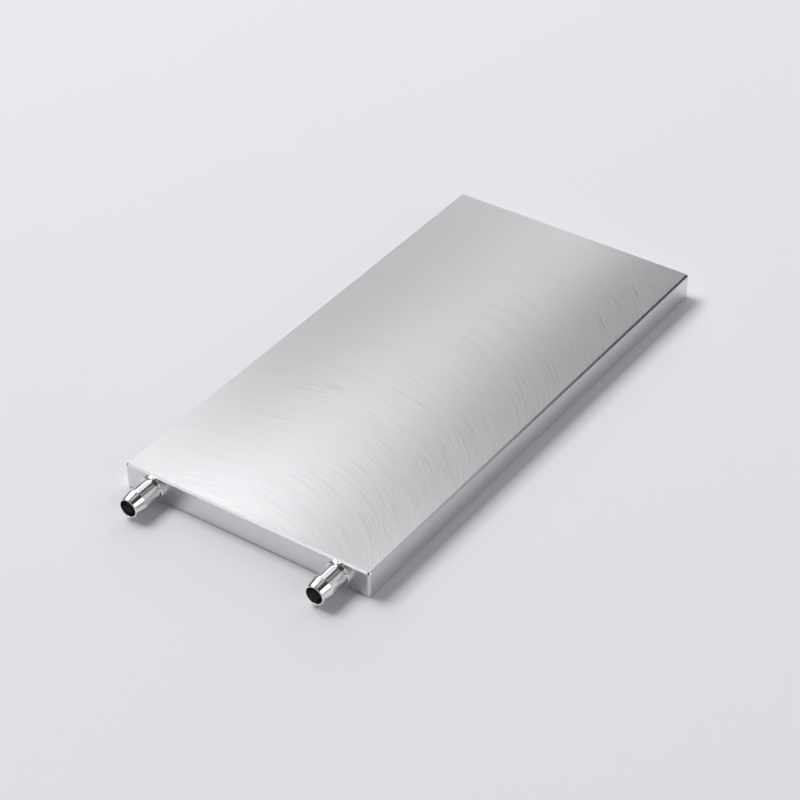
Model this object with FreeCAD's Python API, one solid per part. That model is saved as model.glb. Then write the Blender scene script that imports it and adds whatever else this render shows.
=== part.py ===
"""Liquid cooling cold plate: a milled aluminium block that carries coolant under its top face.

The block is pocketed from below with a serpentine channel of eight straight passes. Folded
fin strips sit in the passes, and a flush cover closes the pocket from underneath; block, fins
and cover are brazed together. Two hose barbs screw into threaded ports in one short end, each
sealed by an O-ring under its collar. The inlet feeds the first pass and the outlet drains the
last, and the two ports are alike, so either one may be the inlet.

Frame, in millimetres: +Z is up out of the cooling face, +Y runs from the port end to the far
end, and the origin is the centre of the underside, where the plate rests.
"""

import FreeCAD, Part
import math
import os

Vector = FreeCAD.Vector

# ---- Block -------------------------------------------------------------------------------
plate_length = 300.0
plate_width = 150.0
plate_thickness = 15.0
corner_radius = 1.5          # upright corners of the block
top_chamfer = 1.0
bottom_chamfer = 0.6

# ---- Channel pocket ----------------------------------------------------------------------
pass_count = 8
rib_thickness = 2.5          # wall left standing between two passes
roof_thickness = 3.5         # wall between the channel and the cooling face
side_rim = 11.0              # block wall beside the pocket
far_rim = 11.0               # block wall beyond the pocket, at the far end
cutter_radius = 3.0          # milled corners of the pocket

# ---- Cover -------------------------------------------------------------------------------
cover_thickness = 3.5
ledge_width = 4.0            # how far the cover overlaps the block round the pocket
cover_corner_radius = 6.0
braze_gap = 0.1              # joint round the cover's edge

# ---- Folded fin strips -------------------------------------------------------------------
fin_sheet = 0.25
fin_leg_spacing = 1.7        # nominal, rounded so that whole folds fill a pass
fin_bend_radius = 0.35       # on the inside of each fold
fin_side_gap = 0.1           # to the pass walls
fin_end_margin = 3.0         # open channel between a strip and a turn
mixing_gap = 5.0             # between the two strips of one pass

# ---- Ports, threaded G 1/8 ---------------------------------------------------------------
thread_major = 9.728
thread_pitch = 0.907
thread_depth = 0.58          # crest to root
thread_clearance = 0.05      # between the two threads, on the radius
thread_start = 1.0           # from the port end to the first thread
port_depth = 9.0
port_backing = 5.5           # block left between a port and the pocket
spigot_run_out = 0.8         # port left free beyond the spigot
drill_diameter = 7.5         # plain hole on from the port into the channel

# ---- Hose barbs --------------------------------------------------------------------------
barb_reach = 20.0            # collar seat to mouth
collar_diameter = 14.4
collar_thickness = 2.3
collar_edge = 0.4
neck_diameter = 11.2         # undercut between collar and shank
neck_width = 0.6
shank_diameter = 12.0
crest_diameter = 13.0        # the barb that grips a 12 mm hose
crest_start = 12.6           # from the seat
crest_land = 1.0
mouth_diameter = 11.0
mouth_edge = 0.25
bore_diameter = 9.4
bore_floor = 5.2             # from the seat, where the hex socket starts
hex_across_flats = 7.0       # for the key that tightens the barb
hex_depth = 4.5
passage_diameter = 6.0       # through the spigot

# ---- O-rings -----------------------------------------------------------------------------
seal_cord = 1.35             # section before it is squeezed
seal_mean_diameter = 11.55
seal_corner = 0.5            # rounding left on the squeezed section
seal_groove_depth = 1.1
seal_groove_play = 0.08      # each side of the seal

# ---- Worked out from the sizes above -----------------------------------------------------
port_end_y = -plate_length / 2
port_rim = port_depth + port_backing
spigot_length = port_depth - spigot_run_out
pocket_y0 = port_end_y + port_rim
pocket_y1 = plate_length / 2 - far_rim
pocket_half_width = plate_width / 2 - side_rim
pass_width = (2 * pocket_half_width - (pass_count - 1) * rib_thickness) / pass_count
pass_pitch = pass_width + rib_thickness
channel_floor = cover_thickness
channel_roof = plate_thickness - roof_thickness
channel_height = channel_roof - channel_floor
port_x = pocket_half_width - pass_width / 2
port_z = (channel_floor + channel_roof) / 2
turn_length = pass_width     # the turns are as wide as the passes

seal_section = math.pi * (seal_cord / 2) ** 2
seal_width = (seal_section + (4 - math.pi) * seal_corner ** 2) / seal_groove_depth

overrun = 1.0                # how far a cutting tool runs past the face it leaves


def rounded_slab(x0, x1, y0, y1, z0, z1, radius):
    """A flat slab with rounded upright corners."""
    slab = Part.makeBox(x1 - x0, y1 - y0, z1 - z0, Vector(x0, y0, z0))
    return slab.makeFillet(radius, upright_edges(slab))


def upright_edges(shape):
    """The straight edges of a shape that run along Z."""
    found = []
    for edge in shape.Edges:
        a = edge.Vertexes[0].Point
        b = edge.Vertexes[-1].Point
        if abs(a.x - b.x) < 1e-6 and abs(a.y - b.y) < 1e-6 and abs(a.z - b.z) > 1e-6:
            found.append(edge)
    return found


def rim_edges(shape, z):
    """The edges of a shape that lie wholly at height z."""
    return [e for e in shape.Edges if all(abs(v.Z - z) < 1e-6 for v in e.Vertexes)]


def turned(profile, x):
    """A solid of revolution about the port axis at x.

    The profile is a closed list of (distance out from the port end, radius) corners, where
    negative distances lie inside the block.
    """
    corners = [Vector(x + r, port_end_y - s, port_z) for s, r in profile]
    face = Part.Face(Part.makePolygon(corners + corners[:1]))
    return face.revolve(Vector(x, 0, port_z), Vector(0, 1, 0), 360)


def thread_rings(depth, outer, inner):
    """Corners of a thread down to a depth, as one V ring to each pitch.

    The rings stand for the helix of the real thread. Port and spigot take theirs from the
    same starting distance, so the two threads mesh.
    """
    corners = []
    for ring in range(int((depth - thread_start) / thread_pitch)):
        s = -thread_start - ring * thread_pitch
        corners.append((s, inner))
        corners.append((s - thread_pitch * 3 / 8, outer))
        corners.append((s - thread_pitch / 2, outer))
        corners.append((s - thread_pitch * 7 / 8, inner))
    return corners


def pass_centre(index):
    """Centre of a straight pass across the plate; pass 0 starts at the inlet."""
    return -port_x + index * pass_pitch


def serpentine_pocket():
    """The empty space of the channel: a slab of passes with the ribs standing in it."""
    pocket = Part.makeBox(
        2 * pocket_half_width,
        pocket_y1 - pocket_y0,
        channel_height,
        Vector(-pocket_half_width, pocket_y0, channel_floor),
    )
    ribs = []
    for index in range(pass_count - 1):
        x = pass_centre(index) + pass_pitch / 2
        joined_to_port_end = index % 2 == 0
        y0 = pocket_y0 - overrun if joined_to_port_end else pocket_y0 + turn_length
        y1 = pocket_y1 - turn_length if joined_to_port_end else pocket_y1 + overrun
        free_y = y1 if joined_to_port_end else y0
        inset = rib_thickness / 2
        if joined_to_port_end:
            y1 -= inset
        else:
            y0 += inset
        wall = Part.makeBox(
            rib_thickness, y1 - y0, channel_height, Vector(x - inset, y0, channel_floor)
        )
        nose_y = free_y - inset if joined_to_port_end else free_y + inset
        nose = Part.makeCylinder(inset, channel_height, Vector(x, nose_y, channel_floor))
        ribs.append(wall.fuse(nose).removeSplitter())
    pocket = pocket.cut(ribs)
    milled = []
    for edge in upright_edges(pocket):
        y = edge.Vertexes[0].Point.y
        if min(abs(y - pocket_y0), abs(y - pocket_y1)) < 1e-6:
            milled.append(edge)
    return pocket.makeFillet(cutter_radius, milled)


def port_hole(x):
    """Threaded port, with a lead-in at its mouth and a plain hole on into the channel."""
    outer = thread_major / 2
    inner = outer - thread_depth
    drill = drill_diameter / 2
    profile = [(overrun, 0), (overrun, outer), (0, outer), (-thread_depth, inner)]
    profile += thread_rings(port_depth, outer, inner)
    profile += [
        (-port_depth, inner),
        (-port_depth, drill),
        (-port_rim - overrun, drill),
        (-port_rim - overrun, 0),
    ]
    return turned(profile, x)


def channel_block():
    """The block: solid cooling face on top, pocket and cover seat cut from below."""
    block = rounded_slab(
        -plate_width / 2, plate_width / 2, -plate_length / 2, plate_length / 2,
        0, plate_thickness, corner_radius,
    )
    block = block.makeChamfer(top_chamfer, rim_edges(block, plate_thickness))
    block = block.makeChamfer(bottom_chamfer, rim_edges(block, 0))
    seat = rounded_slab(
        -pocket_half_width - ledge_width, pocket_half_width + ledge_width,
        pocket_y0 - ledge_width, pocket_y1 + ledge_width,
        -overrun, cover_thickness, cover_corner_radius,
    )
    return block.cut([seat, serpentine_pocket(), port_hole(-port_x), port_hole(port_x)])


def base_cover():
    """Cover that closes the pocket from below and lies flush with the underside."""
    overlap = ledge_width - braze_gap
    return rounded_slab(
        -pocket_half_width - overlap, pocket_half_width + overlap,
        pocket_y0 - overlap, pocket_y1 + overlap,
        0, cover_thickness, cover_corner_radius - braze_gap,
    )


def folded_outline(corners, bend, sheet):
    """Closed outline, in the XZ plane, of a sheet folded along a row of square corners."""
    centre_bend = bend + sheet / 2
    sides = {1: [], -1: []}
    last = {side: None for side in sides}
    for index, corner in enumerate(corners):
        before = (corner - corners[index - 1]).normalize() if index else None
        after = None
        if index < len(corners) - 1:
            after = (corners[index + 1] - corner).normalize()
        for side, edges in sides.items():
            if before is None or after is None:
                along = after or before
                point = corner + Vector(-along.z, 0, along.x) * (side * sheet / 2)
                if last[side] is not None:
                    edges.append(Part.makeLine(last[side], point))
                last[side] = point
                continue
            hub = corner - before * centre_bend + after * centre_bend
            turn = -1 if before.x * after.z - before.z * after.x > 0 else 1
            radius = centre_bend + side * turn * sheet / 2
            entry = hub - after * radius
            middle = hub + (before - after).normalize() * radius
            leave = hub + before * radius
            edges.append(Part.makeLine(last[side], entry))
            edges.append(Part.Arc(entry, middle, leave).toShape())
            last[side] = leave
    starts = {side: edges[0].Vertexes[0].Point for side, edges in sides.items()}
    caps = [Part.makeLine(last[1], last[-1]), Part.makeLine(starts[1], starts[-1])]
    return Part.Wire(Part.__sortEdges__(sides[1] + sides[-1] + caps))


def fin_strip(index, y0, y1):
    """One folded strip that fills a pass from wall to wall, between y0 and y1."""
    width = pass_width - 2 * fin_side_gap
    legs = 2 * max(1, round(width / fin_leg_spacing / 2))
    spacing = width / legs
    low = channel_floor + fin_sheet / 2
    high = channel_roof - fin_sheet / 2
    left = pass_centre(index) - width / 2
    corners = [Vector(left, y0, low)]
    for leg in range(legs):
        x = left + (leg + 0.5) * spacing
        first, second = (low, high) if leg % 2 == 0 else (high, low)
        corners.append(Vector(x, y0, first))
        corners.append(Vector(x, y0, second))
    corners.append(Vector(left + width, y0, low))
    outline = folded_outline(corners, fin_bend_radius, fin_sheet)
    return Part.Face(outline).extrude(Vector(0, y1 - y0, 0))


def fin_strips():
    """Two strips in each pass, clear of the turns, with a gap between them for mixing."""
    start = pocket_y0 + turn_length + fin_end_margin
    end = pocket_y1 - turn_length - fin_end_margin
    middle = (start + end) / 2
    strips = {}
    for index in range(pass_count):
        strips[f"fin_strip_{index + 1}_near"] = fin_strip(index, start, middle - mixing_gap / 2)
        strips[f"fin_strip_{index + 1}_far"] = fin_strip(index, middle + mixing_gap / 2, end)
    return strips


def hex_socket(x):
    """Six-sided socket at the floor of the barb's bore."""
    reach = hex_across_flats / math.sqrt(3)
    corners = []
    for corner in range(6):
        angle = math.tau * corner / 6
        across = x + reach * math.cos(angle)
        up = port_z + reach * math.sin(angle)
        corners.append(Vector(across, port_end_y - bore_floor, up))
    outline = Part.makePolygon(corners + corners[:1])
    return Part.Face(outline).extrude(Vector(0, hex_depth, 0))


def hose_barb(x):
    """Turned hose barb: threaded spigot, collar with a seal groove, shank and one barb."""
    crest = thread_major / 2 - thread_clearance
    root = crest - thread_depth
    collar = collar_diameter / 2
    inner_groove = seal_mean_diameter / 2 - seal_width / 2 - seal_groove_play
    outer_groove = seal_mean_diameter / 2 + seal_width / 2 + seal_groove_play
    bore = bore_diameter / 2
    passage = passage_diameter / 2
    profile = [(-spigot_length, passage), (-spigot_length, root)]
    profile += reversed(thread_rings(spigot_length, crest, root))
    profile += [
        (0, root),
        (0, inner_groove),
        (seal_groove_depth, inner_groove),
        (seal_groove_depth, outer_groove),
        (0, outer_groove),
        (0, collar),
        (collar_thickness - collar_edge, collar),
        (collar_thickness, collar - collar_edge),
        (collar_thickness, neck_diameter / 2),
        (collar_thickness + neck_width, neck_diameter / 2),
        (collar_thickness + neck_width, shank_diameter / 2),
        (crest_start, shank_diameter / 2),
        (crest_start, crest_diameter / 2),
        (crest_start + crest_land, crest_diameter / 2),
        (barb_reach - mouth_edge, mouth_diameter / 2),
        (barb_reach, mouth_diameter / 2 - mouth_edge),
        (barb_reach, bore),
        (bore_floor, bore),
        (bore_floor, passage),
    ]
    return turned(profile, x).cut(hex_socket(x))


def o_ring(x):
    """O-ring squeezed flat between the collar's groove and the port end."""
    r0 = seal_mean_diameter / 2 - seal_width / 2
    r1 = seal_mean_diameter / 2 + seal_width / 2
    ring = turned([(0, r0), (0, r1), (seal_groove_depth, r1), (seal_groove_depth, r0)], x)
    return ring.makeFillet(seal_corner, [e for e in ring.Edges if isinstance(e.Curve, Part.Circle)])


def main():
    pieces = {
        "channel_block": channel_block(),
        "base_cover": base_cover(),
        "inlet_hose_barb": hose_barb(-port_x),
        "outlet_hose_barb": hose_barb(port_x),
        "inlet_o_ring": o_ring(-port_x),
        "outlet_o_ring": o_ring(port_x),
    }
    pieces.update(fin_strips())
    os.makedirs("parts", exist_ok=True)
    for name, shape in pieces.items():
        shape.exportStep(f"parts/{name}.step")
        print(name, "valid", shape.isValid(), "solids", len(shape.Solids), "volume", round(shape.Volume, 1))


main()
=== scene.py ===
# %% [markdown]
# # A liquid cooling cold plate
#
# The real thing is a slab of aluminium with a snaking coolant channel hidden inside it, a brushed
# cooling face on top, and two polished hose barbs in one short end. A module that gets hot is
# clamped on the brushed face, and coolant carries its heat away through the barbs.
#
# The solids come from a CAD model that is already packed, at their real size. They could be
# modelled a second time here, but two models of one part soon disagree. So this script dresses the
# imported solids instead: it sets them on a studio floor, looks at them through a camera, lights them
# and gives each surface the finish that its maker gave it. Lengths are in metres unless a name ends
# in `_MM`.

import math

import bpy
from mathutils import Matrix, Vector


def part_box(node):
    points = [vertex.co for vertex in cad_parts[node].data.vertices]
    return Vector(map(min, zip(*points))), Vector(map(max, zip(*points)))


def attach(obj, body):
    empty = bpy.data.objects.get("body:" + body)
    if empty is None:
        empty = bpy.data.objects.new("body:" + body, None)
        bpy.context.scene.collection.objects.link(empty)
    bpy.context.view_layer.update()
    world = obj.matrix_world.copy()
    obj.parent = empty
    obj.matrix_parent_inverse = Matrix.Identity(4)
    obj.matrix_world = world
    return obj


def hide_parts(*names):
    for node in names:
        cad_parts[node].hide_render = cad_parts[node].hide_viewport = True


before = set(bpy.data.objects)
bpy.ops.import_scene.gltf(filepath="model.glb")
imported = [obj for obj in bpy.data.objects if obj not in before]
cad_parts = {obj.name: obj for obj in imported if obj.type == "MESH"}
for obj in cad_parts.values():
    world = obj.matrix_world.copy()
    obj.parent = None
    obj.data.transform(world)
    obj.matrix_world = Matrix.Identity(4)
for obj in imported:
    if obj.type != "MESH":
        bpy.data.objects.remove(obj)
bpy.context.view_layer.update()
MM = 0.001


def in_mm(length):
    """A length in metres, told in millimetres."""
    return round(length / MM, 2)


plate_low, plate_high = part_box("channel_block")
print("nodes:", len(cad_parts), "plate in mm:", [in_mm(v) for v in plate_high - plate_low])

# %% [markdown]
# ## The camera
#
# A small product is best shown from a step back through a long lens, because a near, wide lens
# would make the close end of the plate look much larger than the far end. The camera could be
# placed by typing a location and three angles. It is easier to change when it is worked out from
# what a person behind a camera decides: the point to aim at, the direction to stand in, how high,
# how far away, and how much the horizon tips.

# %% Camera
AIM = Vector((-0.0026, -0.0156, 0.0))
AZIMUTH = 36.0          # degrees round from the port end towards +X
ELEVATION = 37.24       # degrees above the floor
ROLL = -1.33            # degrees that the horizon tips
DISTANCE = 1.272
LENS_MM = 109.4


def direction(azimuth, elevation):
    """Unit vector from the plate towards a place round it, in degrees. 0 is off the port end."""
    a = math.radians(azimuth)
    e = math.radians(elevation)
    return Vector((math.sin(a) * math.cos(e), -math.cos(a) * math.cos(e), math.sin(e)))


def looking_at(aim, azimuth, elevation, distance):
    """Place and turn of a thing that stands back in a direction and looks at the aim."""
    back = direction(azimuth, elevation)
    turn = back.to_track_quat("Z", "Y").to_matrix().to_4x4()
    return Matrix.Translation(aim + back * distance) @ turn


def add_object(name, data):
    """An object made from a mesh, lamp or camera, linked into the scene."""
    added = bpy.data.objects.new(name, data)
    bpy.context.scene.collection.objects.link(added)
    return added


camera = add_object("camera", bpy.data.cameras.new("camera"))
camera.data.lens = LENS_MM
tip = Matrix.Rotation(math.radians(ROLL), 4, "Z")
camera.matrix_world = looking_at(AIM, AZIMUTH, ELEVATION, DISTANCE) @ tip
bpy.context.scene.camera = camera
print("camera at", [round(v, 3) for v in camera.matrix_world.translation])

# %% [markdown]
# ## The floor
#
# The plate lies on a pale, matt studio floor. Studios curve such a floor up into a wall, so that no
# line shows behind the product. A plain flat sheet is enough here, because the camera looks down on
# it, and the sheet is made very wide so that its edge stays far away when the plate is looked at
# from lower down. The floor isn't part of the product.

# %% Floor
FLOOR_SIZE = 60.0
FLOOR_COLOUR = (0.80, 0.795, 0.825, 1.0)
FLOOR_ROUGHNESS = 0.9
FLOOR_SHINE = 0.1           # far less mirror-like than a glossy paint


def new_material(name):
    """An empty node material with one shader wired to its output; returns material and shader."""
    material = bpy.data.materials.new(name)
    material.use_nodes = True
    tree = material.node_tree
    tree.nodes.clear()
    shader = tree.nodes.new("ShaderNodeBsdfPrincipled")
    output = tree.nodes.new("ShaderNodeOutputMaterial")
    tree.links.new(shader.outputs["BSDF"], output.inputs["Surface"])
    return material, shader


def make_floor():
    """A flat square sheet of matt paint."""
    mesh = bpy.data.meshes.new("studio_floor")
    half = FLOOR_SIZE / 2
    corners = [(-half, -half, 0), (half, -half, 0), (half, half, 0), (-half, half, 0)]
    mesh.from_pydata(corners, [], [(0, 1, 2, 3)])
    material, shader = new_material("floor_paint")
    shader.inputs["Base Color"].default_value = FLOOR_COLOUR
    shader.inputs["Roughness"].default_value = FLOOR_ROUGHNESS
    shader.inputs["Specular IOR Level"].default_value = FLOOR_SHINE
    mesh.materials.append(material)
    return add_object("studio_floor", mesh)


floor = make_floor()
floor.location.z = plate_low.z
print("floor is", FLOOR_SIZE, "m wide, level with the underside of the plate")

# %% [markdown]
# ## Wiring nodes
#
# Metal finishes are made of thousands of fine marks. They could come from images wrapped round the
# part, but an image turns soft when it is looked at closely. Here they are worked out by node
# trees, which stay sharp at any distance. A tree can be drawn by hand in the editor. In a script, a
# few small helpers keep it readable: each one adds a node, feeds it values or other nodes, and
# hands back its output.

# %% Wiring helpers
def feed(tree, socket, value):
    """Wires an output into a socket, or sets the socket to a plain value."""
    if isinstance(value, bpy.types.NodeSocket):
        tree.links.new(value, socket)
    else:
        socket.default_value = value


def calc(tree, operation, *values):
    """One step of arithmetic."""
    node = tree.nodes.new("ShaderNodeMath")
    node.operation = operation
    for socket, value in zip(node.inputs, values):
        feed(tree, socket, value)
    return node.outputs["Value"]


def weighted(tree, first, first_weight, second, second_weight):
    """Sum of two values, each multiplied by its own weight."""
    first_part = calc(tree, "MULTIPLY", first, first_weight)
    second_part = calc(tree, "MULTIPLY", second, second_weight)
    return calc(tree, "ADD", first_part, second_part)


def vector(tree, x, y, z):
    """A vector put together from three numbers."""
    node = tree.nodes.new("ShaderNodeCombineXYZ")
    for socket, value in zip(node.inputs, (x, y, z)):
        feed(tree, socket, value)
    return node.outputs["Vector"]


def place(tree, kind="Object"):
    """The x, y and z of a surface point, or of its normal, in the object's own frame."""
    coordinates = tree.nodes.new("ShaderNodeTexCoord")
    split = tree.nodes.new("ShaderNodeSeparateXYZ")
    tree.links.new(coordinates.outputs[kind], split.inputs["Vector"])
    return split.outputs["X"], split.outputs["Y"], split.outputs["Z"]


WIRING = (feed, calc, weighted, vector, place)
print("helpers that wire nodes:", ", ".join(helper.__name__ for helper in WIRING))

# %% [markdown]
# ## Patterns from noise
#
# Every finish below starts from the same raw stuff, a noise that drifts softly between 0 and 1.
# Left as it is, it makes cloudy patches. Divided by a long length one way and a tiny width the
# other way, it is drawn out into streaks, which is what brushing, milling and rolling leave behind.
# Most of the noise lies between 0.3 and 0.7, so that part of it is stretched to the range that a
# finish needs. A wave pattern could draw lines too, but they would be evenly spaced, and tool marks
# never are.

# %% Pattern helpers
COMMON_NOISE = (0.3, 0.7)
MIDDLE_NOISE = 0.5


def noise(tree, where):
    """Soft random value from 0 to 1 that changes once for each unit of where."""
    node = tree.nodes.new("ShaderNodeTexNoise")
    node.inputs["Scale"].default_value = 1.0
    tree.links.new(where, node.inputs["Vector"])
    return node.outputs["Fac"]


def patches(tree, x, y, z, per_metre):
    """Cloudy patches on a face of any direction, about so many in a metre."""
    scaled = [calc(tree, "MULTIPLY", value, per_metre) for value in (x, y, z)]
    return noise(tree, vector(tree, *scaled))


def flat_patches(tree, x, y, per_metre, pattern):
    """Cloudy patches on a level face; the pattern number picks one of many such patterns."""
    scaled = [calc(tree, "MULTIPLY", value, per_metre) for value in (x, y)]
    return noise(tree, vector(tree, *scaled, pattern))


def streaks(tree, along, across, length, width, pattern):
    """Noise drawn out into streaks of about the given length and width, in metres."""
    drawn_out = calc(tree, "DIVIDE", along, length)
    close_set = calc(tree, "DIVIDE", across, width)
    return noise(tree, vector(tree, drawn_out, close_set, pattern))


def spread(tree, value, low, high, to_low, to_high):
    """Stretches a value from one range to another and holds it there."""
    node = tree.nodes.new("ShaderNodeMapRange")
    for name, number in zip(("Value", "From Min", "From Max", "To Min", "To Max"),
                            (value, low, high, to_low, to_high)):
        feed(tree, node.inputs[name], number)
    return node.outputs["Result"]


def between(tree, value, low, high):
    """Noise stretched to run from low to high."""
    return spread(tree, value, *COMMON_NOISE, low, high)


print("noise from", COMMON_NOISE[0], "to", COMMON_NOISE[1], "is what the finishes use")

# %% [markdown]
# ## The path of the brush
#
# The cooling face is cut by a wide rotary brush that travels along the plate. Each wire leaves a
# shallow scratch in the shape of an arc, and every arc has the radius of the brush, moved a little
# further along. The scratches could be modelled one by one, or painted. Here the place on the plate
# is turned into two new coordinates, along an arc and across the arcs, and any pattern that is
# drawn with them bends as the brush did.

# %% Arc coordinates
BRUSH_RADIUS = 0.100
BRUSH_CENTRE_X = -0.010     # the brush ran a little to one side of the plate's middle


def rise_of_arc(tree, aside, radius):
    """How far an arc of a radius has risen from its centre, at a distance to one side of it."""
    squared = calc(tree, "SUBTRACT", radius ** 2, calc(tree, "MULTIPLY", aside, aside))
    return calc(tree, "SQRT", squared)


def arc_coordinates(tree, x, y):
    """Distance along a brush arc, distance across the arcs, and the direction across them."""
    aside = calc(tree, "SUBTRACT", x, BRUSH_CENTRE_X)
    rise = rise_of_arc(tree, aside, BRUSH_RADIUS)
    across_x = calc(tree, "DIVIDE", aside, BRUSH_RADIUS)
    across_y = calc(tree, "DIVIDE", rise, BRUSH_RADIUS)
    along = calc(tree, "MULTIPLY", calc(tree, "ARCSINE", across_x), BRUSH_RADIUS)
    across = calc(tree, "SUBTRACT", y, rise)
    return along, across, vector(tree, across_x, across_y, 0.0)


steepest = math.asin((plate_high.x - BRUSH_CENTRE_X) / BRUSH_RADIUS)
print("at the long side an arc has turned by", round(math.degrees(steepest)), "degrees")

# %% [markdown]
# ## The brushed face
#
# Three sizes of mark make the brushing: hairs that are as fine as the eye can see, broader strands
# of hairs that ran together, and here and there a short, deeper scratch. The brush also pressed
# harder towards one corner than towards the opposite one, and unevenly in between. All of it could
# be relief alone, but such fine relief falls between the samples of a render. What the eye takes
# for brushing is mostly a small change of shine from strand to strand, so the same marks also
# change the roughness a little.

# %% Brushed face
HAIR = (0.060, 0.0002, 1.0)         # length and width of a mark, and which pattern
STRAND = (0.045, 0.0005, 2.0)
SCRATCH = (0.015, 0.0004, 3.0)
HAIR_WEIGHT = 0.4
STRAND_WEIGHT = 0.6
SCRATCH_NOISE = (0.66, 0.80)        # only the rare peaks of the noise become scratches
SCRATCH_DEPTH = 0.3                 # compared with hairs and strands
PRESSURE_REACH = 0.12               # from the plate's middle to where the pressure stops changing
PRESSURE = (0.4, 1.4)               # from the far left corner to the near right one
WIDTH_TO_LENGTH = 0.5               # makes that way run from corner to corner
UNEVEN = (12.0, 4.0)                # patches in a metre, and which pattern
UNEVEN_NOISE = (0.35, 0.65)
UNEVEN_PRESSURE = (0.75, 1.1)
TOP_ROUGHNESS = 0.284
TOP_ROUGHNESS_SWING = 0.09
TOP_SHADE = (0.98, 1.0)


def brush_pressure(tree, x, y):
    """How hard the brush pressed: more towards one corner, and in cloudy patches."""
    towards_corner = calc(tree, "SUBTRACT", x, calc(tree, "MULTIPLY", y, WIDTH_TO_LENGTH))
    lean = spread(tree, towards_corner, -PRESSURE_REACH, PRESSURE_REACH, *PRESSURE)
    cloud = flat_patches(tree, x, y, *UNEVEN)
    return calc(tree, "MULTIPLY", lean, spread(tree, cloud, *UNEVEN_NOISE, *UNEVEN_PRESSURE))


def brushed_face(tree, x, y, along, across):
    """Relief, roughness and shade of the brushed face."""
    hair = streaks(tree, along, across, *HAIR)
    strand = streaks(tree, along, across, *STRAND)
    scratch = streaks(tree, along, across, *SCRATCH)
    scratch = spread(tree, scratch, *SCRATCH_NOISE, 0.0, SCRATCH_DEPTH)
    pressure = brush_pressure(tree, x, y)
    grain = weighted(tree, hair, HAIR_WEIGHT, strand, STRAND_WEIGHT)
    relief = calc(tree, "MULTIPLY", calc(tree, "SUBTRACT", grain, scratch), pressure)
    uneven = calc(tree, "MULTIPLY", calc(tree, "SUBTRACT", grain, MIDDLE_NOISE), pressure)
    change = calc(tree, "MULTIPLY", uneven, TOP_ROUGHNESS_SWING)
    return relief, calc(tree, "ADD", change, TOP_ROUGHNESS), between(tree, strand, *TOP_SHADE)


print("hairs are", in_mm(HAIR[1]), "mm wide and strands", in_mm(STRAND[1]), "mm")

# %% [markdown]
# ## The milled sides
#
# The narrow sides were cut by the side of an end mill that ran round the plate. Its teeth leave
# upright marks, one beside the other, and the chips that it drags along rub fine lines lengthwise.
# The sides face four ways, so instead of one finish for each, the distance along a side is worked
# out from the direction that its surface faces, and one pattern serves all four.

# %% Milled sides
TOOTH_MARK = (0.030, 0.0007, 6.0)   # length and width of a mark, and which pattern
RUBBED_LINE = (0.020, 0.0004, 5.0)
TOOTH_WEIGHT = 1.2
RUBBED_WEIGHT = 0.8
SIDE_MARKS = (0.7, 1.3)             # what the marks add up to, from smooth to rough
SIDE_ROUGHNESS = (0.30, 0.38)


def milled_sides(tree, x, y, z, facing_x, facing_y):
    """Relief and roughness of the milled sides."""
    x_share = calc(tree, "ABSOLUTE", facing_y)
    y_share = calc(tree, "ABSOLUTE", facing_x)
    run = weighted(tree, x, x_share, y, y_share)
    rubbed = streaks(tree, run, z, *RUBBED_LINE)
    teeth = streaks(tree, z, run, *TOOTH_MARK)
    relief = weighted(tree, rubbed, RUBBED_WEIGHT, teeth, TOOTH_WEIGHT)
    return relief, spread(tree, relief, *SIDE_MARKS, *SIDE_ROUGHNESS)


print("tooth marks on the sides are", in_mm(TOOTH_MARK[1]), "mm wide")

# %% [markdown]
# ## Mixing, relief and shade
#
# One piece of metal can carry more than one finish, and every finish is relief first: the tool cut
# tiny hills and valleys. Cutting them into the mesh would take millions of points. A bump node only
# tilts the surface direction as such hills would, which is all that the shine needs. Three more
# helpers do this, let one finish give way to another, and darken a colour in the valleys.

# %% Mixing helpers
def blend(tree, share, first, second, data_type="FLOAT"):
    """Mixes two numbers or two vectors: share 0 gives the first, 1 the second."""
    node = tree.nodes.new("ShaderNodeMix")
    node.data_type = data_type
    suffix = data_type.capitalize()
    inputs = {socket.identifier: socket for socket in node.inputs}
    feed(tree, inputs["Factor_Float"], share)
    feed(tree, inputs["A_" + suffix], first)
    feed(tree, inputs["B_" + suffix], second)
    outputs = {socket.identifier: socket for socket in node.outputs}
    return outputs["Result_" + suffix]


def emboss(tree, height, depth):
    """Surface direction that makes a height from 0 to 1 look like relief, depth in metres."""
    node = tree.nodes.new("ShaderNodeBump")
    node.inputs["Distance"].default_value = depth
    node.inputs["Strength"].default_value = 1.0
    tree.links.new(height, node.inputs["Height"])
    return node.outputs["Normal"]


def shaded(tree, colour, share):
    """A colour multiplied by a share, below 1 for darker and above 1 for lighter."""
    node = tree.nodes.new("ShaderNodeVectorMath")
    node.operation = "SCALE"
    node.inputs[0].default_value = colour[:3]
    feed(tree, node.inputs["Scale"], share)
    return node.outputs["Vector"]


MIXING = (blend, emboss, shaded)
print("helpers that mix:", ", ".join(helper.__name__ for helper in MIXING))

# %% [markdown]
# ## Brushed aluminium
#
# The whole block is one piece of metal with three finishes: brushed on top, milled on the sides,
# and a bright edge all round where a chamfer cutter ran last. Three materials could be given to
# separate faces of the mesh. One material is simpler, since the direction that a surface faces
# already says which tool cut it.
#
# Scratched metal throws light sideways across its scratches, so the shine is stretched. A shader
# calls that anisotropy, and it needs a tangent, the direction in which to stretch. On top that is
# the direction across the arcs, which makes the highlight curve over the plate, and on the sides it
# is straight up.

# %% Brushed aluminium
ALUMINIUM = (0.80, 0.79, 0.815, 1.0)
LEVEL = 0.95                # how far up the surface faces: 1 is level, 0 is upright
SLANTED = 0.3
EDGE_ROUGHNESS = 0.25
MARK_DEPTH = 0.000002
BRUSHED_STRETCH = 0.7


def dress(name, material):
    """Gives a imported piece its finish."""
    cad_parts[name].material_slots[0].material = material


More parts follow.
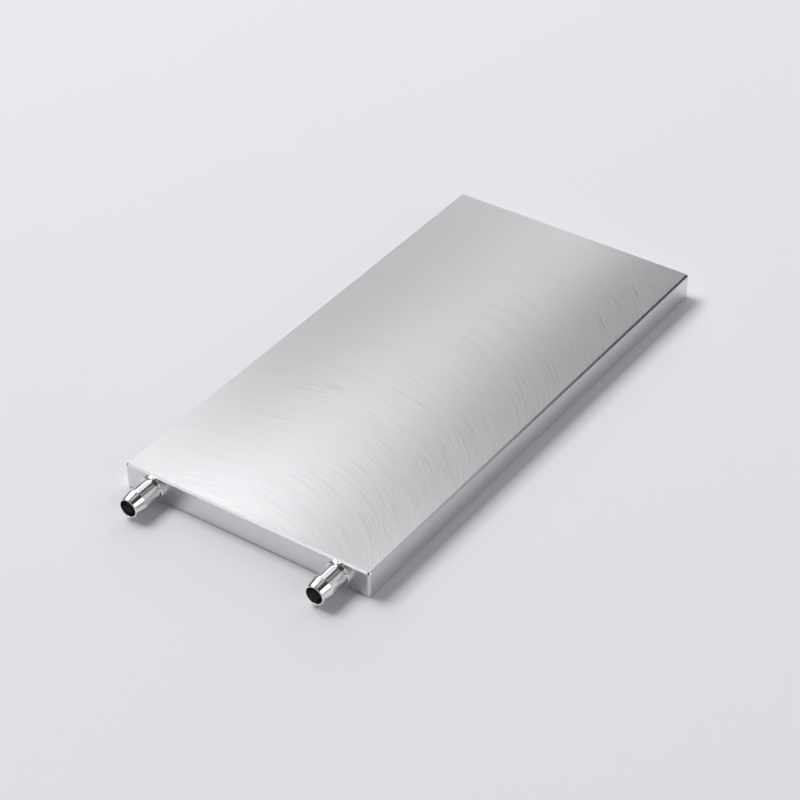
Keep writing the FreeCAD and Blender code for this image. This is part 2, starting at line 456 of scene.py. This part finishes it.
def brushed_plate():
    """Aluminium with brushed arcs on top, milling marks on the sides and bright cut edges."""
    material, shader = new_material("brushed_aluminium_dressed")
    tree = material.node_tree
    x, y, z = place(tree)
    facing_x, facing_y, facing_z = place(tree, "Normal")
    along, across, crosswise = arc_coordinates(tree, x, y)
    top_relief, top_roughness, shade = brushed_face(tree, x, y, along, across)
    side_relief, side_roughness = milled_sides(tree, x, y, z, facing_x, facing_y)

    on_top = calc(tree, "GREATER_THAN", facing_z, LEVEL)
    slope = calc(tree, "ABSOLUTE", facing_z)
    not_upright = calc(tree, "GREATER_THAN", slope, SLANTED)
    not_level = calc(tree, "LESS_THAN", slope, LEVEL)
    on_edge = calc(tree, "MULTIPLY", not_upright, not_level)

    relief = blend(tree, on_top, side_relief, top_relief)
    roughness = blend(tree, on_top, side_roughness, top_roughness)
    stretch_way = blend(tree, on_top, vector(tree, 0.0, 0.0, 1.0), crosswise, "VECTOR")
    feed(tree, shader.inputs["Normal"], emboss(tree, relief, MARK_DEPTH))
    feed(tree, shader.inputs["Roughness"], blend(tree, on_edge, roughness, EDGE_ROUGHNESS))
    feed(tree, shader.inputs["Tangent"], stretch_way)
    feed(tree, shader.inputs["Base Color"], shaded(tree, ALUMINIUM, shade))
    shader.inputs["Metallic"].default_value = 1.0
    shader.inputs["Anisotropic"].default_value = BRUSHED_STRETCH
    return material


brushed = brushed_plate()
dress("channel_block", brushed)
print("brushed finish:", len(brushed.node_tree.nodes), "nodes")

# %% [markdown]
# ## The hose barbs
#
# A hose barb is turned from bar on a lathe. Seen from the seat outwards it has a round collar that
# presses on the plate, a narrow neck left by the cutting tool, a smooth shank for the hose, and one
# barb: a step up, a short land and a long cone down to the mouth. Inside are a smooth bore, a hex
# socket for the key that tightens it, and a plain hole through the threaded spigot.
#
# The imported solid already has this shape, with sharp corners. Real edges are never quite sharp, and
# it is their tiny round that catches the light, so each barb is turned once more with rounded
# corners and takes the solid's place. Its measures could be read off the solid, but named sizes say
# what each of them is for. They are the sizes in the CAD model, in millimetres as on a drawing.

# %% Sizes of a barb
COLLAR_DIAMETER_MM = 14.4
COLLAR_THICKNESS_MM = 2.3
COLLAR_EDGE_MM = 0.4
NECK_DIAMETER_MM = 11.2
NECK_WIDTH_MM = 0.6
SHANK_DIAMETER_MM = 12.0
CREST_DIAMETER_MM = 13.0
CREST_START_MM = 12.6       # from the seat
CREST_LAND_MM = 1.0
MOUTH_DIAMETER_MM = 11.0
MOUTH_EDGE_MM = 0.25
BORE_DIAMETER_MM = 9.4
BORE_FLOOR_MM = 5.2         # from the seat
HEX_ACROSS_FLATS_MM = 7.0
HEX_DEPTH_MM = 4.5
PASSAGE_DIAMETER_MM = 6.0
THREAD_CREST_MM = 9.628     # diameters of the spigot's thread
THREAD_ROOT_MM = 8.468
THREAD_PITCH_MM = 0.907
THREAD_START_MM = 1.0
GROOVE_DEPTH_MM = 1.1       # ring groove for the seal, in the collar's seat
GROOVE_INNER_MM = 9.9
GROOVE_OUTER_MM = 13.2

barb_low, barb_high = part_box("inlet_hose_barb")
BARB_REACH_MM = (plate_low.y - barb_low.y) / MM
SPIGOT_LENGTH_MM = (barb_high.y - plate_low.y) / MM
print("barb reaches out", in_mm(plate_low.y - barb_low.y), "mm")
print("spigot goes in", in_mm(barb_high.y - plate_low.y), "mm")

# %% [markdown]
# ## The thread
#
# The spigot has a pipe thread with 28 turns to the inch. A true thread is one long spiral ridge.
# A spiral can't be turned from a section, and inside the port nobody can tell it from rings, so
# each turn is drawn as a ring of its own, from root to crest and back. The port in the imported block
# has such rings too, and they start at the same distance from its mouth, so that the two mesh.

# %% Thread
ROUND, HEX = "round", "hex"
ROOT_MM = THREAD_ROOT_MM / 2        # radii
CREST_MM = THREAD_CREST_MM / 2
# share of the pitch and radius, for the four corners of a turn
TURN = ((7 / 8, ROOT_MM), (1 / 2, CREST_MM), (3 / 8, CREST_MM), (0, ROOT_MM))


def thread_corners():
    """Corners of the thread's rings in millimetres, from the end of the spigot to its seat."""
    corners = []
    turns = int((SPIGOT_LENGTH_MM - THREAD_START_MM) / THREAD_PITCH_MM)
    for turn in reversed(range(turns)):
        start = THREAD_START_MM + turn * THREAD_PITCH_MM
        for share, radius in TURN:
            corners.append((-start - share * THREAD_PITCH_MM, radius, 0, ROUND))
    return corners


print("thread has", len(thread_corners()) // len(TURN), "turns")

# %% [markdown]
# ## Section of a barb
#
# A lathe shape is easiest to make as a lathe makes it: draw one half of its section and spin it.
# The section could be a curve drawn by hand. As a list of corners it keeps its sizes, so it starts
# at the end of the spigot, climbs over the thread to the seat, goes round the collar and along the
# shank to the mouth, and comes back through the bore, the hex socket and the passage.

# %% Section of a barb
FINE_ROUND_MM = 0.12        # roundings, from just deburred to well rounded
SOCKET_ROUND_MM = 0.1
SHANK_ROUND_MM = 0.15
BORE_ROUND_MM = 0.3
COLLAR_ROUND_MM = 0.35
CONE_ROUND_MM = 1.5


def barb_section():
    """Corners of half a barb in millimetres: distance out from the seat, radius, rounding, kind."""
    collar = COLLAR_DIAMETER_MM / 2
    neck = NECK_DIAMETER_MM / 2
    shank = SHANK_DIAMETER_MM / 2
    crest = CREST_DIAMETER_MM / 2
    mouth = MOUTH_DIAMETER_MM / 2
    bore = BORE_DIAMETER_MM / 2
    socket = HEX_ACROSS_FLATS_MM / 2
    passage = PASSAGE_DIAMETER_MM / 2
    neck_end = COLLAR_THICKNESS_MM + NECK_WIDTH_MM
    socket_floor = BORE_FLOOR_MM - HEX_DEPTH_MM
    spigot_end = [
        (-SPIGOT_LENGTH_MM, passage, 0, ROUND),
        (-SPIGOT_LENGTH_MM, ROOT_MM, 0, ROUND),
    ]
    seat = [
        (0, ROOT_MM, 0, ROUND),
        (0, GROOVE_INNER_MM / 2, 0, ROUND),
        (GROOVE_DEPTH_MM, GROOVE_INNER_MM / 2, 0, ROUND),
        (GROOVE_DEPTH_MM, GROOVE_OUTER_MM / 2, 0, ROUND),
        (0, GROOVE_OUTER_MM / 2, 0, ROUND),
        (0, collar, FINE_ROUND_MM, ROUND),
    ]
    outside = [
        (COLLAR_THICKNESS_MM - COLLAR_EDGE_MM, collar, COLLAR_ROUND_MM, ROUND),
        (COLLAR_THICKNESS_MM, collar - COLLAR_EDGE_MM, COLLAR_ROUND_MM, ROUND),
        (COLLAR_THICKNESS_MM, neck, FINE_ROUND_MM, ROUND),
        (neck_end, neck, FINE_ROUND_MM, ROUND),
        (neck_end, shank, SHANK_ROUND_MM, ROUND),
        (CREST_START_MM, shank, SHANK_ROUND_MM, ROUND),
        (CREST_START_MM, crest, SHANK_ROUND_MM, ROUND),
        (CREST_START_MM + CREST_LAND_MM, crest, CONE_ROUND_MM, ROUND),
        (BARB_REACH_MM - MOUTH_EDGE_MM, mouth, FINE_ROUND_MM, ROUND),
        (BARB_REACH_MM, mouth - MOUTH_EDGE_MM, FINE_ROUND_MM, ROUND),
    ]
    inside = [
        (BARB_REACH_MM, bore, SHANK_ROUND_MM, ROUND),
        (BORE_FLOOR_MM, bore, BORE_ROUND_MM, ROUND),
        (BORE_FLOOR_MM, socket, SOCKET_ROUND_MM, HEX),
        (socket_floor, socket, SOCKET_ROUND_MM, HEX),
        (socket_floor, passage, SOCKET_ROUND_MM, ROUND),
    ]
    return spigot_end + thread_corners() + seat + outside + inside


section = barb_section()
print("section of a barb has", len(section), "corners")

# %% [markdown]
# ## Round the section's corners
#
# A Bevel modifier could round the edges after the spin, but it has to guess where they are, and one
# width would go to all of them. Rounding the flat section first is plain geometry: an arc that
# touches both sides of the corner has its centre on the line that halves the corner. Each point
# also keeps the direction that its surface faces, which later gives clean reflections.

# %% Round the section's corners
ARC_STEPS = 5


def rounded(corners):
    """The section with its corners rounded: point, surface direction and kind of ring for each."""
    points = []
    for index, (s, r, rounding, kind) in enumerate(corners):
        here = Vector((s, r))
        before = (Vector(corners[index - 1][:2]) - here).normalized()
        after = (Vector(corners[(index + 1) % len(corners)][:2]) - here).normalized()
        if not rounding:
            outward = Vector((before.y, -before.x)) + Vector((-after.y, after.x))
            points.append((here, outward.normalized(), kind))
            continue
        half_angle = before.angle(after) / 2
        centre = here + (before + after).normalized() * (rounding / math.sin(half_angle))
        first = here + before * (rounding / math.tan(half_angle)) - centre
        last = here + after * (rounding / math.tan(half_angle)) - centre
        hollow = 1 if first.x * last.y - first.y * last.x < 0 else -1
        for step in range(ARC_STEPS + 1):
            share = step / ARC_STEPS
            spoke = first.normalized().slerp(last.normalized(), share) * rounding
            points.append((centre + spoke, spoke.normalized() * hollow, kind))
    return points


rounded_section = rounded(section)
print("rounded section has", len(rounded_section), "points")

# %% [markdown]
# ## Spin the section
#
# Blender has a Screw modifier and a Spin tool for turning a section round an axis. Here the rings
# of points are written in code, because then the hex socket can be spun too, with a radius that
# follows a hexagon, and because each ring can carry its exact surface direction. Neighbouring rings
# are joined by four-sided faces, and the last ring is joined to the first, which closes the skin.

# %% Spin the section
AROUND = 120                # points in a ring, a multiple of six so that the socket's corners fit
HEX_SIDE = math.radians(60)
TINY_TURN = 1e-9            # lets a point on a corner count to the side that starts there


def ring_shape(kind, angle):
    """Radius of a ring at an angle, for a radius of one, and the direction its surface faces."""
    if kind == ROUND:
        return 1.0, angle
    facing = (math.floor(angle / HEX_SIDE + TINY_TURN) + 0.5) * HEX_SIDE
    return 1.0 / math.cos(angle - facing), facing


def closed_skin(rings, around):
    """Four-sided faces between neighbouring rings of points, closed both ways."""
    faces = []
    for ring in range(rings):
        here = ring * around
        there = (ring + 1) % rings * around
        for step in range(around):
            following = (step + 1) % around
            faces.append((here + step, here + following, there + following, there + step))
    return faces


def spin(name, outline):
    """Mesh of a section spun about the port's axis, which runs out along -Y from the seat."""
    points = []
    directions = []
    for (s, r), (out_s, out_r), kind in outline:
        for step in range(AROUND):
            angle = math.tau * step / AROUND
            scale, facing = ring_shape(kind, angle)
            point = Vector((r * scale * math.cos(angle), -s, r * scale * math.sin(angle)))
            points.append(point * MM)
            directions.append(Vector((out_r * math.cos(facing), -out_s, out_r * math.sin(facing))))
    mesh = bpy.data.meshes.new(name)
    mesh.from_pydata(points, [], closed_skin(len(outline), AROUND))
    mesh.shade_smooth()
    mesh.normals_split_custom_set_from_vertices(directions)
    return mesh


print("one barb takes", len(rounded_section) * AROUND, "points")

# %% [markdown]
# ## Screw in the barbs
#
# Both barbs are alike, one for the coolant that comes in and one for what goes out. They could
# share one mesh, but each real barb is a piece of its own, and each takes the place of its own
# solid. The solid's box says where the axis of its port lies.

# %% Screw in the barbs
def turned_barb(node):
    """A barb turned to the section, screwed into the port where the CAD model has its own."""
    low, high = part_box(node)
    piece = add_object(node.replace("hose_barb", "turned_barb"), spin(node, rounded_section))
    piece.location = ((low.x + high.x) / 2, plate_low.y, (low.z + high.z) / 2)
    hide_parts(node)
    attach(piece, "root")
    return piece


barbs = [turned_barb(node) for node in ("inlet_hose_barb", "outlet_hose_barb")]
for barb in barbs:
    print(barb.name, len(barb.data.vertices), "points at", [round(v, 4) for v in barb.location])

# %% [markdown]
# ## Polished finish
#
# After turning, the barbs are polished bright. They stay a little less than mirror smooth, and
# faint rings from the lathe are left, which smear reflections along the barb. The rings could be
# cut into the mesh, but they are far finer than its points, so they are noise that changes with the
# way that the tool travelled, along the axis or outwards, as roughness and as very shallow relief.

# %% Polished finish
POLISHED_METAL = (0.86, 0.86, 0.87, 1.0)
LATHE_RING_WIDTH = 0.00012
LATHE_RING_PATTERN = 6.0
LATHE_RING_DEPTH = 0.000001
LATHE_RING_ROUGHNESS = (0.13, 0.19)
STAINS_PER_METRE = 300.0
STAIN_ROUGHNESS = (0.0, 0.03)
POLISHED_STRETCH = 0.4
QUARTER_TURN = 0.25         # turns the stretch from round the barb to along it


def polished_barb():
    """Bright turned metal with faint lathe rings."""
    material, shader = new_material("polished_barb_dressed")
    tree = material.node_tree
    x, y, z = place(tree)
    radius = calc(tree, "SQRT", weighted(tree, x, x, z, z))
    travel = calc(tree, "DIVIDE", calc(tree, "ADD", y, radius), LATHE_RING_WIDTH)
    ring = noise(tree, vector(tree, 0.0, travel, LATHE_RING_PATTERN))
    stain = patches(tree, x, y, z, STAINS_PER_METRE)
    ring_roughness = between(tree, ring, *LATHE_RING_ROUGHNESS)
    stain_roughness = between(tree, stain, *STAIN_ROUGHNESS)
    round_the_axis = vector(tree, z, 0.0, calc(tree, "MULTIPLY", x, -1.0))
    feed(tree, shader.inputs["Normal"], emboss(tree, ring, LATHE_RING_DEPTH))
    feed(tree, shader.inputs["Roughness"], calc(tree, "ADD", ring_roughness, stain_roughness))
    feed(tree, shader.inputs["Tangent"], round_the_axis)
    shader.inputs["Base Color"].default_value = POLISHED_METAL
    shader.inputs["Metallic"].default_value = 1.0
    shader.inputs["Anisotropic"].default_value = POLISHED_STRETCH
    shader.inputs["Anisotropic Rotation"].default_value = QUARTER_TURN
    return material


polished = polished_barb()
for barb in barbs:
    barb.data.materials.append(polished)
print("polished finish on", len(barbs), "barbs")

# %% [markdown]
# ## The base cover
#
# The coolant channel is milled from below, and a thin cover closes it. The cover's face was skimmed
# flat by a face mill, a cutter as wide as a hand that leaves overlapping curves as it travels
# along. The curves could be wave rings round many centres. They are made like the brushed arcs
# instead, with a smaller radius and one row of them for each pass of the cutter.

# %% Milled cover
MILL_RADIUS = 0.040
MILL_STEP = 0.050                   # from one pass of the cutter to the next
MILL_CURVE = (0.050, 0.0007)        # length and width of a curve
MILL_DEPTH = 0.00001
MILL_ROUGHNESS = (0.26, 0.34)
MILL_SHADE = (0.92, 1.0)
WEAR = (25.0, 7.0)                  # patches in a metre, and which pattern
WEAR_ROUGHNESS = (0.0, 0.05)
MILLED_STRETCH = 0.6


def milled_cover():
    """Aluminium skimmed by a face mill."""
    material, shader = new_material("milled_aluminium_dressed")
    tree = material.node_tree
    x, y = place(tree)[:2]
    lane = calc(tree, "FLOOR", calc(tree, "DIVIDE", x, MILL_STEP))
    lane_middle = calc(tree, "MULTIPLY", calc(tree, "ADD", lane, 0.5), MILL_STEP)
    aside = calc(tree, "SUBTRACT", x, lane_middle)
    across = calc(tree, "SUBTRACT", y, rise_of_arc(tree, aside, MILL_RADIUS))
    curve = streaks(tree, aside, across, *MILL_CURVE, lane)
    wear = flat_patches(tree, x, y, *WEAR)
    curve_roughness = between(tree, curve, *MILL_ROUGHNESS)
    wear_roughness = between(tree, wear, *WEAR_ROUGHNESS)
    across_curves = vector(tree, calc(tree, "DIVIDE", aside, MILL_RADIUS), 1.0, 0.0)
    shade = between(tree, curve, *MILL_SHADE)
    feed(tree, shader.inputs["Normal"], emboss(tree, curve, MILL_DEPTH))
    feed(tree, shader.inputs["Roughness"], calc(tree, "ADD", curve_roughness, wear_roughness))
    feed(tree, shader.inputs["Tangent"], across_curves)
    feed(tree, shader.inputs["Base Color"], shaded(tree, ALUMINIUM, shade))
    shader.inputs["Metallic"].default_value = 1.0
    shader.inputs["Anisotropic"].default_value = MILLED_STRETCH
    return material


milled = milled_cover()
dress("base_cover", milled)
print("milled finish on the cover:", len(milled.node_tree.nodes), "nodes")

# %% [markdown]
# ## The braze seam
#
# Block, fins and cover are joined in a furnace by a filler metal that melts and is drawn into the
# narrow joint round the cover. When it sets, it leaves a fine line, a little hollow and a little
# duller than the plate. It is far too narrow to show from a step away, but on the underside it is
# what says that the plate is brazed and not glued or screwed. The line could be painted on the
# cover. As one closed strip of mesh that follows the cover's edge, it really fills the joint.

# %% Braze seam
SEAM_WIDTH = 0.0001
SEAM_DEPTH = 0.0012
SEAM_HOLLOW = 0.00004
COVER_CORNER = 0.0059
CORNER_STEPS = 12


def cover_outline(low, high, outset):
    """Points round the cover's edge, with round corners, moved outwards by an amount."""
    points = []
    right, left = high.x - COVER_CORNER, low.x + COVER_CORNER
    far, near = high.y - COVER_CORNER, low.y + COVER_CORNER
    for quarter, hub in enumerate(((right, far), (left, far), (left, near), (right, near))):
        for step in range(CORNER_STEPS + 1):
            angle = math.radians(90) * (quarter + step / CORNER_STEPS)
            spoke = Vector((math.cos(angle), math.sin(angle))) * (COVER_CORNER + outset)
            points.append(Vector(hub) + spoke)
    return points


def braze_seam():
    """Filler metal in the joint between block and cover, as one closed strip."""
    low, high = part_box("base_cover")
    profile = [
        (0.0, 0.0),
        (SEAM_WIDTH / 2, SEAM_HOLLOW),
        (SEAM_WIDTH, 0.0),
        (SEAM_WIDTH, SEAM_DEPTH),
        (0.0, SEAM_DEPTH),
    ]
    points = []
    for outset, rise in profile:
        outline = cover_outline(low, high, outset)
        points += [(point.x, point.y, low.z + rise) for point in outline]
    around = len(points) // len(profile)
    mesh = bpy.data.meshes.new("braze_seam")
    mesh.from_pydata(points, [], closed_skin(len(profile), around))
    piece = add_object("braze_seam", mesh)
    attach(piece, "root")
    return piece


seam = braze_seam()
print("braze seam has", len(seam.data.polygons), "faces")

# %% [markdown]
# ## Braze metal
#
# Filler metal isn't worked after it has set. It keeps the skin that it froze with, which is
# slightly warmer in colour than the plate, duller, and grainy on a very small scale. The plate's
# own finish could be used for it too, but then the line would vanish.

# %% Braze metal
BRAZE_COLOUR = (0.62, 0.61, 0.59, 1.0)
BRAZE_GRAINS_PER_METRE = 3000.0
BRAZE_ROUGHNESS = (0.38, 0.55)
BRAZE_SHADE = (0.85, 1.0)


def braze_metal():
    """Dull filler metal with a grainy skin."""
    material, shader = new_material("braze_metal")
    tree = material.node_tree
    grain = patches(tree, *place(tree), BRAZE_GRAINS_PER_METRE)
    shade = between(tree, grain, *BRAZE_SHADE)
    feed(tree, shader.inputs["Roughness"], between(tree, grain, *BRAZE_ROUGHNESS))
    feed(tree, shader.inputs["Base Color"], shaded(tree, BRAZE_COLOUR, shade))
    shader.inputs["Metallic"].default_value = 1.0
    return material


seam.data.materials.append(braze_metal())
print("braze metal on", seam.name)

# %% [markdown]
# ## Rubber seals
#
# Under each collar a rubber ring is squeezed against the plate and keeps the coolant in. It can't
# be seen once the barb is tight, but it is dressed as well, so that the model still looks right
# when it is taken apart. Rubber is a dull, nearly black surface with a fine pebble from its mould
# and a slight bloom in patches. One even dark colour would do from afar, but it looks like plastic
# from close by.

# %% Rubber seals
RUBBER = (0.018, 0.018, 0.020, 1.0)
PEBBLES_PER_METRE = 6000.0
PEBBLE_DEPTH = 0.00001
BLOOM_PER_METRE = 500.0
BLOOM_ROUGHNESS = (0.50, 0.68)
BLOOM_SHADE = (0.8, 1.3)


def seal_rubber():
    """Black moulded rubber with a fine pebble."""
    material, shader = new_material("seal_rubber_dressed")
    tree = material.node_tree
    x, y, z = place(tree)
    pebble = patches(tree, x, y, z, PEBBLES_PER_METRE)
    bloom = patches(tree, x, y, z, BLOOM_PER_METRE)
    shade = between(tree, bloom, *BLOOM_SHADE)
    feed(tree, shader.inputs["Normal"], emboss(tree, pebble, PEBBLE_DEPTH))
    feed(tree, shader.inputs["Roughness"], between(tree, bloom, *BLOOM_ROUGHNESS))
    feed(tree, shader.inputs["Base Color"], shaded(tree, RUBBER, shade))
    return material


rubber = seal_rubber()
seals = ("inlet_o_ring", "outlet_o_ring")
for name in seals:
    dress(name, rubber)
print("rubber on", len(seals), "seals")

# %% [markdown]
# ## Rolled fin sheet
#
# Folded strips of thin sheet stand in the coolant and pass the heat on to it. They are hidden like
# the seals. Sheet keeps the fine straight lines of the mill that rolled it, and here they run along
# the strip. The folds could each be given their own direction, but adding height to the place
# across the strip is enough to carry the lines round every fold.

# %% Rolled fin sheet
ROLLED_LINE = (0.040, 0.00015, 8.0) # length and width of a line, and which pattern
ROLLED_DEPTH = 0.000004
ROLLED_ROUGHNESS = (0.24, 0.34)
ROLLED_SHADE = (0.9, 1.0)
DULL = (60.0, 9.0)                  # patches in a metre, and which pattern
DULL_ROUGHNESS = (0.0, 0.06)


def fin_sheet():
    """Thin rolled aluminium, with lines along the strip."""
    material, shader = new_material("fin_aluminium_dressed")
    tree = material.node_tree
    x, y, z = place(tree)
    line = streaks(tree, y, calc(tree, "ADD", x, z), *ROLLED_LINE)
    dull = flat_patches(tree, x, y, *DULL)
    line_roughness = between(tree, line, *ROLLED_ROUGHNESS)
    dull_roughness = between(tree, dull, *DULL_ROUGHNESS)
    shade = between(tree, line, *ROLLED_SHADE)
    feed(tree, shader.inputs["Normal"], emboss(tree, line, ROLLED_DEPTH))
    feed(tree, shader.inputs["Roughness"], calc(tree, "ADD", line_roughness, dull_roughness))
    feed(tree, shader.inputs["Base Color"], shaded(tree, ALUMINIUM, shade))
    shader.inputs["Metallic"].default_value = 1.0
    return material


rolled = fin_sheet()
fins = [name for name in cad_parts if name.startswith("fin_strip_")]
for name in fins:
    dress(name, rolled)
print("rolled finish on", len(fins), "fin strips")

# %% [markdown]
# ## Softboxes
#
# Metal shows hardly any colour of its own: it shows what stands round it. So a metal product is lit
# with softboxes, large glowing panels that are as much there to be mirrored as to give light. An
# image of a whole studio could light the scene too, but then no light could be moved alone. All
# panels stand on a dome round the plate and face it, so that each needs only a direction, a size
# and a power.
#
# - The key stands high on the left. It lights the floor and throws the soft shadow to the right.
# - The panels behind, low and high, are what the brushed face mirrors. The low left one is the
#   strongest of them, because the stretched shine of the face reaches down to it.
# - The panels on the right keep the long side light. A gap is left between them and the ones
#   behind, and the edge along that side mirrors it as a dark line at its far end.
# - The small one in front on the left is mirrored by the chamfer over the barbs.
# - The two wide fills off the port end keep the face from going black when it is seen from behind.

# %% Softboxes
STUDIO_RADIUS = 6.0
SOFTBOXES = (
    # name, azimuth, elevation, width, height, watts
    ("key_softbox", -90, 54, 3.2, 2.8, 275),
    ("back_left_low_softbox", -150, 10, 3.0, 2.3, 84),
    ("back_left_high_softbox", -150, 54, 1.8, 2.3, 13),
    ("left_softbox", -120, 32, 3.0, 2.3, 40),
    ("back_softbox", 180, 32, 3.4, 3.4, 44),
    ("overhead_softbox", 180, 76, 2.0, 1.8, 5.5),
    ("back_right_high_softbox", 150, 54, 1.8, 2.3, 3),
    ("back_right_softbox", 120, 32, 3.0, 2.3, 12.5),
    ("back_right_low_softbox", 120, 10, 3.0, 2.3, 13),
    ("right_softbox", 90, 32, 4.4, 3.4, 70),
    ("front_left_softbox", -38, 40, 1.6, 1.6, 12.5),
    ("port_left_fill_softbox", -25, 15, 4.0, 2.5, 4),
    ("port_right_fill_softbox", 40, 15, 4.0, 2.5, 12),
)


def softbox(name, azimuth, elevation, width, height, watts):
    """A rectangular softbox on the studio's dome that faces the plate."""
    data = bpy.data.lights.new(name, "AREA")
    data.shape = "RECTANGLE"
    data.size = width
    data.size_y = height
    data.energy = watts
    lamp = add_object(name, data)
    lamp.visible_camera = False
    lamp.matrix_world = looking_at(Vector((0, 0, 0)), azimuth, elevation, STUDIO_RADIUS)


for settings in SOFTBOXES:
    softbox(*settings)
print(len(SOFTBOXES), "softboxes give", sum(settings[-1] for settings in SOFTBOXES), "watts")

# %% [markdown]
# ## Light of the room
#
# Between the softboxes the studio is nearly dark. A brighter room would be the easy way to lift
# the shadows, but it would also fill every dark reflection and make the metal look like grey paint.
# So only a trace of cool light comes from all round. Blender's usual view softens bright tones as
# film does. The Standard view leaves them as they are, so that the bright floor stays clean.

# %% Room light
ROOM_COLOUR = (0.98, 0.98, 1.0, 1.0)
ROOM_STRENGTH = 0.02


def make_room():
    """A dim, even glow from all round."""
    world = bpy.data.worlds.new("studio_room")
    bpy.context.scene.world = world
    world.use_nodes = True
    background = world.node_tree.nodes["Background"]
    background.inputs["Color"].default_value = ROOM_COLOUR
    background.inputs["Strength"].default_value = ROOM_STRENGTH


make_room()
bpy.context.scene.view_settings.view_transform = "Standard"
print("room glows with strength", ROOM_STRENGTH)
